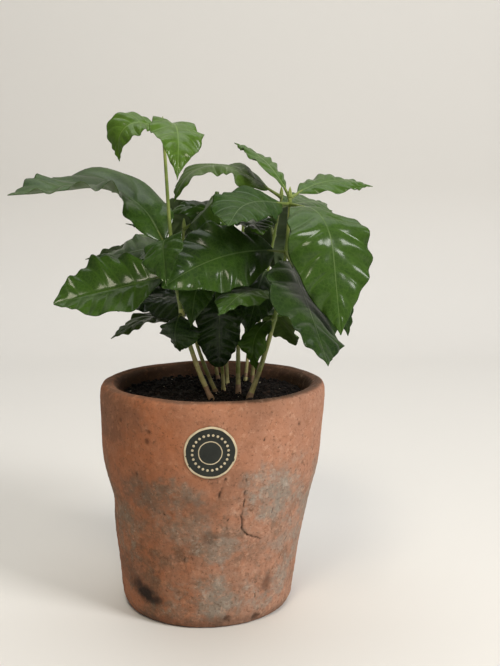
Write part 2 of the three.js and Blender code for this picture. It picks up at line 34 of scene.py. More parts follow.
# The pot, as in the part: a leaning, dented cup whose wall is given as heights with their outer radius.
POT_HEIGHT = 141.6
RIM_RADIUS = 70.3
WALL = 10.5
POT_WALL = [[0, 50], [1.5, 52], [5, 54], [16, 55.6], [27, 56.8], [37, 57.6], [48, 59.4], [59, 61.4],
            [69, 63], [80, 65.3], [90, 67.6], [100, 68.7], [111, 69.3], [122, 69.9], [132, 70.3]]
POT_LIP = [[138.2, RIM_RADIUS - 0.3], [140.6, RIM_RADIUS - 1.8], [POT_HEIGHT, RIM_RADIUS - 4.6],
           [140.8, RIM_RADIUS - 8], [138, RIM_RADIUS - WALL], [133, RIM_RADIUS - WALL - 0.8],
           [124, 58.6]]
POT_LEAN = 4.5 / POT_HEIGHT
DENT = {"heading": 180, "height": 68, "depth": 2.2, "spread": 32, "reach": 14}
FRONT = -90

SOIL_LEVEL = 133
SOIL_RADIUS = 58.6
GAP = 0.3

LABEL_RADIUS = 15.2
LABEL_HEIGHT = 113
LABEL_SHIFT = -1.5

# Stems and leaves, as in the part.
STEM_TAPER = 0.72
STALK_SHARE = 0.1
STALK_END = 0.16
STALK_RADIUS = 1
STALK_ROWS = 10
STALK_SIDES = 10
LEAF_LENGTH = 86
LEAF_SLENDERNESS = 0.42
OUTLINE_SKEW = 0.92
OUTLINE_BASE = 0.75
OUTLINE_POINT = 0.65
MIDRIB_STEPS = 96
RIPPLE = 0.045
LOBE = 0.04
YOUNG_SHARE = 0.95
NODE_SHARE = 0.07
NODE_TURN = 60
CLAIM_STATIONS = 16
CLAIM_COLUMNS = [-1, -0.67, -0.33, 0, 0.33, 0.67, 1]
STEM_CLAIMS = 60
CLEARANCE = 4
TRIES = 60
SMALLEST = 0.6
SPACE = [[-66, -58, 160], [96, 118, 234]]
SEED = 16

# A stem's leaves over its crown's share are one mass, and pairs are where the rule's leaves stand.
Stem = namedtuple("Stem", "name thick foot tip bow crown pairs first")
STEMS = [
    Stem("left", 1.6, [3, -20], [-24, -26, 294], [-22.5, -20], 0.5, [0.475], 20),
    Stem("left_twin", 1.3, [6, 0], [-12.8, -5, 235], [-9.5, -16], 0.66, [0.5], 80),
    Stem("right", 1.7, [26.4, -18], [50.8, -15, 254], [42.4, 49.5], 0.92, [0.515, 0.735], 60),
    Stem("short_front", 1.2, [11, 7], [4, 2, 207], [10, 7], 0.7, [0.5, 1], 40),
    Stem("middle_back", 1.2, [14, 28], [8, 48, 228], [13, 11], 0.66, [0.38, 0.6, 0.8, 1], 20),
    Stem("middle", 1.5, [20, -3], [24, 0, 243], [20, 20], 0.55, [0.45], 80),
    Stem("right_back", 1.3, [30, 28], [48, 15, 254], [33, 41], 0.76, [0.4, 0.6, 0.8], 90),
    Stem("far_right", 1.2, [26, 34], [42, 62, 222], [29, 34], 0.68, [0.38, 0.6, 0.8, 1], 50),
    Stem("far_left", 1.2, [8, 42], [-20, 62, 220], [3, -6], 0.68, [0.4, 0.6, 0.8, 1], 130),
]
# A leaf stands at a share of its stem and droops from start to end. It has waves along both margins.
Leaf = namedtuple("Leaf", "at turn rise droop sweep roll twist long wide cup start end tone blunt "
                  "left_waves left_phase right_waves right_phase", defaults=(0, 3, 0, 3, 0))
# The leaves that show from the front, with the tone each has there.
KNOWN = {
    "left": [
        [1, 208, 14, 108, -15, -37, 7, 45, 24.5, 3, 0.27, 0.8, "young", -0.04, 2.1, 0.7, 3.5, 0.27],
        [1, 290, 13, 80, -26, -1, -26, 74.8, 29.2, -4, 0.08, 0.93, "young", -0.19, 2.2, 0.1, 3.9, 0.34],
        [0.526, 152, 59, 64, 69, -31, 26, 126.8, 55.5, 8, 0.2, 0.59, "deep", 0.44, 2.7, 0.72, 5.4, 0.41],
        [0.6, 257, 7, 68, 27, 21, 25, 54, 28, 2, 0.15, 0.8, "deep"],
        [0.475, 185, -13, 0, 5, -41, 4, 73.6, 50.3, 12, 0.16, 0.84, "green", 0.51, 3.2, 0.11, 2.7, 0.92],
        [0.33, 242, -28, 104, -5, 1, 12, 28.6, 33.1, -17, 0.06, 0.87, "dark", -0.09, 3.1, 0.01, 2.7, 0.03],
    ],
    "left_twin": [
        [1, 328, 37, 2, -25, 41, 30, 37.8, 31.8, -23, 0.05, 0.86, "fresh", -0.09, 3, 0.21, 2.9, 0.84],
        [0.8, 167, 65, 59, 4, 4, -10, 46.2, 17.6, -9, 0.11, 0.82, "green", -0.4, 1.7, 0.58, 2.1, 0.9],
        [0.72, 148, 41, 54, 12, -14, -17, 71.6, 42.5, -7, 0.21, 0.52, "green", 0.08, 3.1, 0.89, 3.6, 0.97],
    ],
    "right": [
        [1, 121, 48, 31, 6, 18, -11, 67.8, 19.6, -6, 0.12, 0.79, "fresh", 0.09, 2.8, 0.28, 3.6, 0.84],
        [1, 27, 29, 44, -4, 26, -9, 62.3, 26.3, -10, 0.1, 0.87, "fresh", 0.26, 3.1, 0.91, 2.9, 0.79],
        [0.97, 294, -3, 75, -2, 0, 11, 109.9, 49.2, -8, 0.2, 0.58, "green", 0.19, 3.4, 0.39, 3.1, 0.05],
        [0.97, 223, 6, 30, 29, -38, 30, 73.2, 37.8, -6, 0.24, 0.8, "calm", 0.42, 2.8, 0.18, 2.6, 0.87],
        [0.735, 282, -29, 4, -4, -37, 6, 104.7, 54.6, -8, 0.06, 0.9, "dark", 0.14, 3.3, 0.31, 3.2, 0.93],
        [0.735, 214, 6, 34, -4, -56, 8, 89.7, 45, -2, 0.11, 0.89, "deep", 0.48, 2.5, 0.8, 3.3, 0.78],
        [0.515, 232, 18, 39, 7, -9, 7, 70, 34, -9, 0.15, 0.74, "green", 0, 3.2, 0.97, 3, 0.79],
        [0.4, 223, -9, 102, -2, 8, -2, 41, 26, 3, 0.1, 0.85, "fresh"],
        [0.4, 86, 14, 65, -40, -4, 9, 44.7, 27.9, -18, 0.15, 0.46, "fresh", 0.5, 3.6, 0.24, 3.8, 0.01],
    ],
    "short_front": [
        [0.88, 283, -3, 90, 0, 0, 0, 56.5, 29, -6, 0.03, 0.42, "dark", 0.9],
        [1, 254, -6, 70, -17, -20, -10, 56, 22, -6, 0.42, 0.7, "deep"],
        # This leaf's tone is painted shade.
        [0.79, 158, -1, 5, -2, -16, -10, 54, 36.8, -20, 0.05, 0.9, "dusk", -0.3, 2.1, 0.77, 2.2, 0.14],
    ],
    "middle_back": [
        [1, 195, 29, 26, -22, 43, 27, 47.9, 33.7, -6, 0.29, 0.86, "dark", 0.11, 1.9, 0.31, 4.2, 0.27],
    ],
    "middle": [
        [0.96, 274, 16, 34, 10, 0, -3, 52.5, 26.7, 2, 0.05, 0.7, "fresh", 0.08, 3.6, 0.93, 2.4, 0.29],
        [0.8, 164, 60, 94, -7, -32, -8, 62.8, 22.1, -13, 0.25, 0.98, "green", 0.27, 3.2, 0.22, 3.2, 0.92],
        [0.62, 300, -14, 99, 26, 5, 10, 37.9, 30, -11, 0.16, 0.66, "dark", 0.02, 2.8, 0.25, 3, 0.59],
    ],
    "right_back": [
        [1, 185, 33, 93, 55, -30, 56, 90.8, 41.5, -10, 0.28, 0.95, "olive", -0.04, 2.7, 0.26, 3, 0.94],
        [0.95, 42, 11, 21, 16, 20, 7, 55.2, 34.2, -9, 0.03, 0.98, "green", 0.1, 2.4, 0.08, 2.8, 0.54],
        [0.8, 103, 39, 100, -32, -37, 13, 69.1, 35.6, 12, 0.17, 0.46, "dark", -0.09, 4.4, 0.73, 5.4, 0.36],
        [0.6, 264, 22, 71, -15, -17, -21, 71, 27.7, -9, 0.02, 0.56, "dark", -0.28, 1.6, 0.41, 2.9, 0.99],
    ],
    "far_right": [
        [0.75, 326, 16, 97, -14, 16, -5, 93.5, 35.9, -7, 0.2, 0.92, "dark", 0.24, 3, 0.89, 3.5, 0.9],
    ],
    "far_left": [
        [0.45, 223, 18, 40, 2, -3, 0, 82.6, 27.7, -3, 0.09, 0.85, "pale", 0.06, 3.3, 0.91, 3.1, 0.13],
        [0.6, 206, 14, 32, 1, -21, -17, 70.4, 35.2, 5, 0.2, 0.78, "dark", 0.25, 2.8, 0.17, 3.2, 0.89],
        [0.8, 192, 28, 39, -8, 5, 23, 71.8, 24.4, 2, 0.25, 0.75, "dark", 0.05, 3.4, 0.05, 5.6, 0.83],
    ],
}

# A tone is the colour of a leaf's upper face, given as it looks on a screen.
TONES = {
    "young": (71, 100, 28),
    "fresh": (60, 90, 24),
    "green": (49, 76, 21),
    "deep": (39, 63, 19),
    "dark": (25, 44, 15),
    # Painted shade: this tone is the dull, greyish dark of a leaf that sits in the shade of the others.
    "dusk": (32, 46, 26),
    "calm": (34, 59, 16),
    "olive": (59, 82, 24),
    "pale": (80, 94, 54),
}
RULE_TONES = ["deep", "dark", "green"]


def seeded(seed):
    """Draws that come out the same each time, between a low and a high value."""
    state = seed

    def draw(low, high):
        nonlocal state
        state = state * 16807 % 2147483647
        return low + (high - low) * (state / 2147483647)

    return draw


def lerp(a, b, share):
    return a + (b - a) * share


def smooth(low, high, value):
    """A soft step from 0 at a low value to 1 at a high one."""
    share = np.clip((value - low) / (high - low), 0, 1)
    return share * share * (3 - 2 * share)


def signed(turn):
    """A turn in degrees, brought to between -180 and 180."""
    return (turn + 540) % 360 - 180


def around(count):
    """Angles of evenly spaced corners round a ring."""
    return np.arange(count) / count * 2 * np.pi


# Factors that stir a place's whole numbers into one that looks drawn by lot.
PLACE_FACTORS = (73856093, 19349663, 83492791)
SEED_FACTOR = 40503
STIR_FACTORS = (2654435761, 2246822519)
FULL_WORD = 0xFFFFFFFF


def noise(points, size, seed):
    """Smooth noise from -1 to 1 at points, whose bumps are about size wide."""
    place = points / size + 0.37 * seed
    cell = np.floor(place).astype(np.int64)
    part = place - cell
    part = part * part * (3 - 2 * part)
    total = np.zeros(place.shape[:-1])
    for corner in product((0, 1), repeat=3):
        weight = np.prod(np.where(corner, part, 1 - part), axis=-1)
        stirred = np.bitwise_xor.reduce((cell + corner) * PLACE_FACTORS, axis=-1)
        stirred = ((stirred ^ (seed * SEED_FACTOR)) * STIR_FACTORS[0]) & FULL_WORD
        stirred = ((stirred >> 15) ^ stirred) * STIR_FACTORS[1] & FULL_WORD
        total += weight * (stirred / FULL_WORD)
    return 2 * total - 1


def noises(points, found):
    """A sum of noises, each with its strength, size and seed."""
    return sum(strength * noise(points, size, seed) for strength, size, seed in found)


# The growth of the plant, as in the part.


def stem_points(one, shares):
    """Points on a stem's middle line, a curve whose two handles have the x values of its bow."""
    foot = np.array([*one.foot, SOIL_LEVEL + GAP], float)
    tip = np.array(one.tip, float)
    low, high = foot + (tip - foot) / 3, foot + (tip - foot) * 2 / 3
    low[0], high[0] = one.bow
    share = np.atleast_1d(shares)[:, None]
    rest = 1 - share
    return rest**3 * foot + 3 * rest**2 * share * low + 3 * rest * share**2 * high + share**3 * tip


def leaf_frame(one, share):
    """Directions on a leaf at shares of its length: along the midrib, across the blade, out of its face."""
    done = np.clip((share - one.start) / (one.end - one.start), 0, 1)
    climb = np.radians(one.rise - one.droop * done)
    heading = np.radians(one.turn + one.sweep * done)
    roll = np.radians(one.roll + one.twist * done)[..., None]
    along = np.stack([np.cos(climb) * np.cos(heading), np.cos(climb) * np.sin(heading), np.sin(climb)], -1)
    level = np.stack([-np.sin(heading), np.cos(heading), 0 * heading], -1)
    upright = np.cross(along, level)
    across = level * np.cos(roll) + upright * np.sin(roll)
    face = upright * np.cos(roll) - level * np.sin(roll)
    return along, across, face


def midrib(one, node):
    middles = (np.arange(MIDRIB_STEPS) + 0.5) / MIDRIB_STEPS
    along, _, _ = leaf_frame(one, middles)
    steps = np.cumsum(along * (one.long / MIDRIB_STEPS), axis=0)
    return np.vstack([node, node + steps])


def on_midrib(points, share):
    place = np.clip(share, 0, 1) * MIDRIB_STEPS
    whole = np.arange(MIDRIB_STEPS + 1)
    return np.stack([np.interp(place, whole, points[:, axis]) for axis in range(3)], -1)


def half_width(one, share):
    """Half the width of a blade, widest just short of its middle. A blunt one is fuller near its tip."""
    inside = np.clip(share, 0, 1)
    fullness = OUTLINE_BASE + (OUTLINE_POINT - one.blunt) * inside
    return one.wide / 2 * np.clip(np.sin(np.pi * inside**OUTLINE_SKEW), 0, 1) ** fullness


def blade_points(one, points, share, side, lift):
    """Points of the blade. side runs from -1 to 1 across it; lift is the height over its middle layer."""
    along = STALK_SHARE + (1 - STALK_SHARE) * share
    _, across, face = leaf_frame(one, along)
    reach = np.abs(side) * half_width(one, share)
    cup = np.radians(one.cup)
    fade = np.minimum(1, 4 * np.minimum(share, 1 - share))
    waves = np.where(side < 0, one.left_waves, one.right_waves)
    phase = np.where(side < 0, one.left_phase, one.right_phase)
    turn = 2 * np.pi * (waves * share + phase)
    reach = reach * (1 + LOBE * fade * np.cos(turn))
    wave = np.sin(turn) * fade * RIPPLE * one.wide * np.sign(side) * np.abs(side) ** 1.5
    sideways = (np.sign(side) * reach * np.cos(cup))[..., None]
    upwards = (reach * np.sin(cup) + wave + lift)[..., None]
    return on_midrib(points, along) + across * sideways + face * upwards


# The room that a stem or a leaf takes up, between the corners low and high.
Claim = namedtuple("Claim", "thick owner points low high")


def claim(thick, owner, points):
    return Claim(thick, owner, points, points.min(0), points.max(0))


def claim_leaf(one, points):
    stations = np.repeat(np.arange(1, CLAIM_STATIONS + 1) / CLAIM_STATIONS, len(CLAIM_COLUMNS))
    sides = np.tile(CLAIM_COLUMNS, CLAIM_STATIONS)
    return claim(0, None, blade_points(one, points, stations, sides, 0 * sides))


def crowds(own, other, stem_name, thick):
    """Whether a new leaf of a stem comes too near to a leaf or a stem that is there already."""
    reach = thick + 1 if other.owner == stem_name else CLEARANCE + other.thick
    if np.any(own.low - reach > other.high) or np.any(other.low > own.high + reach):
        return False
    apart = own.points[:, None] - other.points
    return bool(np.any((apart * apart).sum(-1) < reach * reach))


def rule_leaf(draw, at, heading, size):
    """A leaf with drawn measures, shorter at a stem's top and steeper the higher it stands."""
    long = LEAF_LENGTH * size * (draw(0.6, 0.75) if at > YOUNG_SHARE else draw(0.85, 1.1))
    return Leaf(at, turn=heading + draw(-30, 30), rise=lerp(12, 34, at) + draw(-8, 8), droop=draw(45, 85),
                sweep=draw(-15, 15), roll=draw(-18, 18), twist=draw(-12, 12), long=long,
                wide=long * LEAF_SLENDERNESS * draw(0.92, 1.08), cup=draw(-14, -4),
                start=draw(0.05, 0.2), end=draw(0.75, 0.95), tone="fresh")


def known_leaves(one):
    return [Leaf(*row) for row in KNOWN[one.name]]


def stands_there(one, at, heading):
    """Whether a known leaf stands where the rule would put one."""
    return any(abs(known.at - at) < NODE_SHARE and abs(signed(known.turn - heading)) < NODE_TURN
               for known in known_leaves(one))


def fitting_leaf(draw, one, at, heading, taken):
    """A leaf of the rule that crowds nothing, with its midrib and claim, or None after all tries."""
    for go in range(TRIES):
        new = rule_leaf(draw, at, heading, lerp(1, SMALLEST, go / TRIES))
        points = midrib(new, stem_points(one, at)[0])
        own = claim_leaf(new, points)
        inside = np.all(own.low >= SPACE[0]) and np.all(own.high <= SPACE[1])
        if inside and not any(crowds(own, other, one.name, one.thick) for other in taken):
            return new, points, own
    return None


def grow_leaves():
    """All leaves as (stem name, leaf, midrib points): the known ones, then the rule's opposite pairs."""
    draw = seeded(SEED)
    tones = seeded(SEED + 1)
    grown, taken = [], []
    for one in STEMS:
        along = np.arange(STEM_CLAIMS + 1) / STEM_CLAIMS
        taken.append(claim(one.thick, one.name, stem_points(one, along)))
        for known in known_leaves(one):
            points = midrib(known, stem_points(one, known.at)[0])
            grown.append((one.name, known, points))
            taken.append(claim_leaf(known, points))
    for one in STEMS:
        for (pair, at), side in product(enumerate(one.pairs), (0, 180)):
            heading = one.first + 90 * pair + side
            found = None if stands_there(one, at, heading) else fitting_leaf(draw, one, at, heading, taken)
            if found is None:
                continue
            new, points, own = found
            if at <= YOUNG_SHARE:
                new = new._replace(tone=RULE_TONES[int(tones(0, len(RULE_TONES)))])
            grown.append((one.name, new, points))
            taken.append(own)
    return grown


# Meshes.

# A direction that no stem or stalk follows.
ASIDE = (0.03, 1, 0.02)
# The order of a quad's corners that turns it over.
TURNED = [0, 3, 2, 1]


class Skin:
    """Corners and four-sided faces gathered for one piece, with the finish of each face."""

    def __init__(self):
        self.corners, self.faces, self.finishes, self.count = [], [], [], 0

    def add(self, corners, faces, finishes):
        """Add corners and the faces between them, and return the first corner's number."""
        corners = np.asarray(corners, float).reshape(-1, 3)
        first = self.count
        self.corners.append(corners)
        self.count += len(corners)
        self.patch(faces + first, finishes)
        return first

    def patch(self, faces, finishes):
        """Add faces between corners that are there already."""
        self.faces.append(faces)
        self.finishes.append(np.broadcast_to(finishes, len(faces)))

    def close(self, first, sides, finishes, flip):
        """Close the ring of corners that starts at the first one with a fan of faces."""
        fan = np.array([[0, step, step + 1, step + 2] for step in range(1, sides - 2, 2)]) + first
        self.patch(fan[:, ::-1] if flip else fan, finishes)

    def build(self, name, slot, nodes, marks=None):
        """Make the piece, whose finish reads the marks, by name a value for each corner."""
        corners = np.concatenate(self.corners)
        faces = np.concatenate(self.faces)
        names, numbers = np.unique(np.concatenate(self.finishes).astype(str), return_inverse=True)
        mesh = bpy.data.meshes.new(name)
        mesh.from_pydata((corners * MM).tolist(), [], faces.tolist())
        for found in names:
            mesh.materials.append(FINISHES[found])
        mesh.polygons.foreach_set("material_index", numbers.tolist())
        mesh.polygons.foreach_set("use_smooth", [True] * len(faces))
        for mark, values in (marks or {}).items():
            layer = mesh.attributes.new(mark, "FLOAT", "POINT")
            layer.data.foreach_set("value", np.ravel(values))
        made = bpy.data.objects.new(name, mesh)
        bpy.context.scene.collection.objects.link(made)
        if nodes:
            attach(made, "root")
            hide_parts(*nodes)
        return made


def grid_faces(rows, columns, ring=False):
    """Quads of a grid of corners, whose rows close into rings if asked."""
    row, column = np.indices((rows - 1, columns if ring else columns - 1))
    here, above, after = row * columns, (row + 1) * columns, (column + 1) % columns
    return np.stack([here + column, here + after, above + after, above + column], -1).reshape(-1, 4)


def tube(skin, centres, radii, sides, finishes):
    """A closed tube of round rings across its course. radii has values per ring or per corner."""
    rings = len(centres)
    course = np.gradient(centres, axis=0)
    course /= np.linalg.norm(course, axis=1, keepdims=True)
    side = np.cross(course, ASIDE)
    side /= np.linalg.norm(side, axis=1, keepdims=True)
    other = np.cross(course, side)
    angle = around(sides)[:, None]
    outwards = side[:, None] * np.cos(angle) + other[:, None] * np.sin(angle)
    corners = centres[:, None] + outwards * np.asarray(radii, float).reshape(rings, -1, 1)
    finishes = np.repeat(np.broadcast_to(finishes, rings - 1), sides)
    first = skin.add(corners, grid_faces(rings, sides, ring=True), finishes)
    skin.close(first, sides, finishes[0], flip=True)
    skin.close(first + (rings - 1) * sides, sides, finishes[0], flip=False)


# Leaves.

# The fine blade: rows along the side veins and columns from margin to margin.
SIDE_VEINS = 8
VEIN_PHASES = [0, 0.08, 0.18, 0.3, 0.43, 0.57, 0.7, 0.82, 0.92]
VEIN_LEAN = 0.55
VEIN_RAISE = 0.15
VEIN_REACH = 0.85
SIDE_COLUMNS = [0, 0.09, 0.2, 0.32, 0.44, 0.56, 0.68, 0.79, 0.89, 0.96, 1]
MIDRIB_HALF = 0.55
MIDRIB_KEEL = 0.5
GROOVE = 0.25
GROOVE_REACH = 0.16
BLADE_END = 0.008
BLADE_HALF = 0.22
# Heights and reaches as shares of the leaf's length or, for the scallops, of its half width.
QUILT = 0.0085
RUFFLE = 0.0085
SCALLOP = 0.026
DENTS = 0.014
DENT_SIZE = 0.2


def blade_grid(one):
    """Places all over a blade.

    row is the share of the length at the midrib and share the one out on the leaning side vein. side runs
    from the middle to a margin, spread from the midrib's edge, and phase from one side vein to the next.
    """
    rows = [(vein + phase) / SIDE_VEINS for vein in range(SIDE_VEINS) for phase in VEIN_PHASES]
    rows = np.array([BLADE_END, *rows[1:], 1 - BLADE_END])
    row, spread = np.meshgrid(rows, [*SIDE_COLUMNS[::-1], *SIDE_COLUMNS], indexing="ij")
    sign = np.broadcast_to(np.repeat([-1.0, 1.0], len(SIDE_COLUMNS)), row.shape)
    phase = (row * SIDE_VEINS) % 1
    rib = MIDRIB_HALF * (1.15 - 0.95 * row) / np.maximum(half_width(one, row), 0.5)
    rib = np.minimum(rib, 0.5)
    side = rib + (1 - rib) * spread
    share = row + VEIN_LEAN * row * (1 - row) * side**1.3
    return row, np.clip(share, BLADE_END, 1 - BLADE_END), side, spread, sign, phase


def blade_relief(one, order, grid):
    """Heights of both faces of the blade over its middle layer, and how far its margins reach."""
    row, share, side, spread, sign, phase = grid
    size = one.long
    offset = 1.7 * order
    fade = np.minimum(1, 6 * np.minimum(share, 1 - share))
    between = np.sin(np.pi * phase) ** 0.8
    envelope = smooth(0.02, 0.3, spread) * (1 - 0.65 * smooth(0.75, 1, spread))
    vary = 1 + 0.35 * np.sin(7 * row + offset + sign)
    quilt = QUILT * size * between * envelope * fade * vary
    swell = 2 * np.pi * (row * SIDE_VEINS + 0.06 * np.sin(5 * row + offset * sign))
    strength = 1 + 0.45 * np.sin(2.3 * offset + 9 * row + 2 * sign)
    ruffle = -RUFFLE * size * strength * np.cos(swell) * spread**3 * fade
    scallop = 1 - SCALLOP * strength * np.cos(swell) * spread**4 * fade
    flat = np.stack([share * size, sign * side * half_width(one, share), 0 * share + 40 * order], -1)
    dents = DENTS * size * noise(flat, DENT_SIZE * size, 40 + order) * smooth(0, 0.5, spread) * fade
    groove = -GROOVE * (1 - smooth(0, GROOVE_REACH, spread)) * fade
    lift = quilt + ruffle + dents + groove
    half = BLADE_HALF * (1 - 0.6 * spread**4)
    below = VEIN_RAISE * (1 - between) * (spread < VEIN_REACH) + MIDRIB_KEEL * (spread == 0)
    return lift + half, lift - half - below * fade, scallop


def blade(skin, one, points, order):
    """A leaf's blade: quilted between its side veins, ruffled along its margins, and closed."""
    grid = blade_grid(one)
    _, share, side, _, sign, phase = grid
    high, low, scallop = blade_relief(one, order, grid)
    across = sign * side * scallop
    upper = blade_points(one, points, share, across, high)
    lower = blade_points(one, points, share, across, low)
    edges = [0, -1]
    upper[:, edges] = lower[:, edges] = (upper[:, edges] + lower[:, edges]) / 2
    rows, columns = share.shape
    top = np.arange(rows * columns).reshape(rows, columns)
    under = top + rows * columns
    under[:, edges] = top[:, edges]
    names = np.full((rows - 1, columns - 1), f"{one.tone}_upper", object)
    beside = (phase[:-1, 0] > 0.85) | (phase[:-1, 0] < 0.05)
    names[beside, 2:-2] = f"{one.tone}_line"
    names[:, len(SIDE_COLUMNS) - 1] = f"{one.tone}_rib"
    below = f"{one.tone}_under"
    faces = grid_faces(rows, columns)
    first = skin.add(np.stack([upper, lower]), faces[:, TURNED], names.ravel())
    skin.patch(under.ravel()[faces] + first, below)
    for at, flip in ((0, False), (-1, True)):
        ends = np.stack([top[at, 1:-2], top[at, 2:-1], under[at, 2:-1], under[at, 1:-2]], -1) + first
        skin.patch(ends[:, ::-1] if flip else ends, below)


def stalk(skin, one, points):
    """The leaf's stalk, from inside the stem to a little way up the midrib."""
    share = np.linspace(0, STALK_END, STALK_ROWS)
    _, _, face = leaf_frame(one, share)
    centres = on_midrib(points, share) - face * (0.25 * share / STALK_END)[:, None]
    radii = STALK_RADIUS * np.interp(share / STALK_END, [0, 0.25, 0.6, 1], [1.5, 1.05, 0.85, 0.6])
    tube(skin, centres, radii, STALK_SIDES, f"{one.tone}_stalk")


# Stems.

STEM_SIDES = 20
STEM_ROWS = 180
STEM_BURIED = 0.02
SLIMMER = 0.76
NODE_SWELL = 0.42
NODE_SPREAD = 1.7
# How far up a stem each finish reaches, as a share of its height. Above them it is green.
# The lower finishes are the stem's own bark, tan and pale green, made lighter with painted light where the
# leaves shade it.
WOOD_TOPS = {"bark": 0.035, "tan": 0.15, "stem_light": 0.32}
BUD_LENGTH = 7
BUD_SIDES = 8


def woody(skin, one, nodes):
    """A stem: green above and barky near the soil, with painted light on its lower part, swollen at its
    nodes and slimmer at its top.
    """
    share = np.linspace(-STEM_BURIED, 1, STEM_ROWS)
    centres = stem_points(one, share)
    seed = len(one.name)
    radius = one.thick * lerp(1, STEM_TAPER, share) * lerp(1, SLIMMER, share)
    length = one.tip[2] - SOIL_LEVEL
    for node in nodes:
        radius = radius + NODE_SWELL * np.exp(-(((share - node) * length / NODE_SPREAD) ** 2))
    angle = around(STEM_SIDES)
    ring = np.stack([np.cos(angle), np.sin(angle), 0 * angle], -1)
    places = centres[:, None] + ring * radius[:, None, None]
    fine = noise(places * [1, 1, 0.35], 1.1, seed)
    coarse = noise(places * [1, 1, 0.5], 3.5, seed + 3)
    rough = lerp(0.07, 0.015, smooth(0.05, 0.4, share))[:, None]
    flare = (1 + 0.5 * np.exp(-(share / 0.02) ** 2))[:, None] ** 0.5
    radii = radius[:, None] * (1 + rough * (fine + coarse)) * flare
    wander = share + 0.05 * noise(centres, 7, seed + 5)
    # The finishes below the green are the stem's own colours, lighter with painted light.
    names = np.select([wander < top for top in WOOD_TOPS.values()], list(WOOD_TOPS), "stem_green")
    tube(skin, centres, radii, STEM_SIDES, names[:-1])
    bud(skin, centres[-1])


def bud(skin, tip):
    height = np.linspace(-1, BUD_LENGTH, 9)
    radii = np.interp(height, [-1, 1.5, 4, BUD_LENGTH], [0.8, 1, 0.6, 0.12])
    for lean in (-1, 1):
        out = lean * 0.45 * np.sin(np.pi * height / BUD_LENGTH)
        tube(skin, tip + np.stack([out, 0 * height, height], -1), radii, BUD_SIDES, "stem_green")


def plant():
    """A piece of wood and a piece of leaves for each stem."""
    grown = grow_leaves()
    for one in STEMS:
        name = one.name
        own = [(found, points) for stem_name, found, points in grown if stem_name == name]
        wood, leaves = Skin(), Skin()
        woody(wood, one, sorted({found.at for found, _ in own}))
        for order, (found, points) in enumerate(own):
            stalk(wood, found, points)
            blade(leaves, found, points, order + len(name))
        lower = sum(found.at <= one.crown for found, _ in own)
        singles = [f"{name}_lower_leaf_{number + 1}" for number in range(lower)]
        wood.build(f"{name}_wood", "stem", [f"{name}_stem"])
        leaves.build(f"{name}_leaves", "leaf", [f"{name}_leaf_mass", *singles])


# Pot.

POT_COLUMNS = 480
FRONT_SHARE = 0.68
FRONT_SPAN = 150
WALL_ROWS = 170
# Rows of the lip: all, the first ones, which face outwards, and those before its stained inside.
LIP_ROWS = 26
OUTER_LIP = 6
LIP_BEFORE_STAIN = 14
# Height from which the lip is wavy.
WAVY_FROM = 134
# From the middle of the underside out to the start of the wall, as heights with their radius.
POT_FOOT = [[2.2, 8], [2, 30], [0.6, 44], [0, 47.5], [0, 49.6], [0.5, 51]]
# Noises of the wall, as strength, size and seed.
LUMPS = [(0.75, 34, 1), (0.34, 13, 2), (0.14, 5, 3)]
GRAIN = [(0.09, 2.2, 4), (0.06, 1.3, 5)]
RAGGED = [(0.35, 9, 6), (0.22, 3.5, 7), (0.14, 1.5, 8)]
WAVES = [(0.5, 26, 9), (0.2, 8, 10)]
# One degree round the wall, in mm.
DEGREE = 1.2

# Marks on the wall, placed by their heading in degrees from the front's middle and their height.
Crack = namedtuple("Crack", "start end wiggle depth half broken")
CRACKS = [
    Crack([16.4, 97], [16, 72], 1.3, 0.8, 0.42, 0.75),
    Crack([15.6, 73], [16.6, 65], 0.8, 1, 0.5, 0.2),
    Crack([16.6, 65.5], [20.4, 60], 0.9, 1, 0.48, 0.1),
    Crack([20.2, 60.2], [29.5, 56], 1.3, 0.9, 0.4, 0.4),
    Crack([6.4, 97], [3.6, 86], 0.9, 0.9, 0.6, 0.75),
]
CRACK_STEPS = 30
CRACK_BENDS = 6
HAIR_CRACKS = 16
# Pits as heading, height, radius and depth.
PITS = [[-50.9, 126.3, 1.3, 0.7], [-31.6, 122.8, 1.3, 0.7], [-33, 117, 1.7, 0.8], [46, 124, 1.1, 0.6],
        [28, 133, 1, 0.5], [52, 99, 1.2, 0.6], [-40, 96, 1.1, 0.5], [12, 5.7, 2.4, 1.2],
        [32.3, 3.6, 2.8, 1.4]]
SMALL_PITS = 260
# Patches of grey bloom, mould and stain: heading, height, half-width in degrees, half-height and strength.
BLOOM = [[36, 84, 24, 19, 1], [-28, 84, 24, 12, 0.9], [-12, 66, 16, 12, 0.8], [4, 22, 24, 14, 1],
         [-58, 53, 18, 24, 0.9], [51, 27, 10, 14, 1], [37, 14, 10, 7, 0.9], [72, 60, 20, 36, 0.9],
         [-80, 70, 22, 32, 0.8], [150, 70, 60, 44, 0.9], [-150, 50, 45, 40, 0.9], [6, 52, 16, 9, 0.9],
         [44, 50, 12, 8, 0.8], [-24, 12, 14, 7, 0.8]]
MOULD = [[-41.4, 19.5, 8, 5.4, 1], [-48, 23, 6, 4, 0.7], [-35, 16, 7, 3.4, 0.8], [38, 25, 4, 7, 0.5]]
STAIN = [[0, 60, 5, 4.5, 0.8], [-60, 30, 16, 10, 0.5], [0, 3, 80, 5, 0.5], [-62, 128, 24, 16, 0.55],
         [-38, 88, 22, 12, 0.45], [-8, 78, 12, 9, 0.35], [9, 97, 12, 8, 0.35]]


def pot_shape(radius, heading, height):
    """Points of the leaning, dented pot at a radius, a heading in degrees and a height."""
    aside = signed(heading - DENT["heading"]) / DENT["spread"]
    level = (height - DENT["height"]) / DENT["reach"]
    reach = radius - DENT["depth"] * np.exp(-aside * aside - level * level)
    turn = np.radians(heading)
    x = reach * np.cos(turn) + POT_LEAN * height
    return np.stack([x, reach * np.sin(turn), height + 0 * reach], -1)


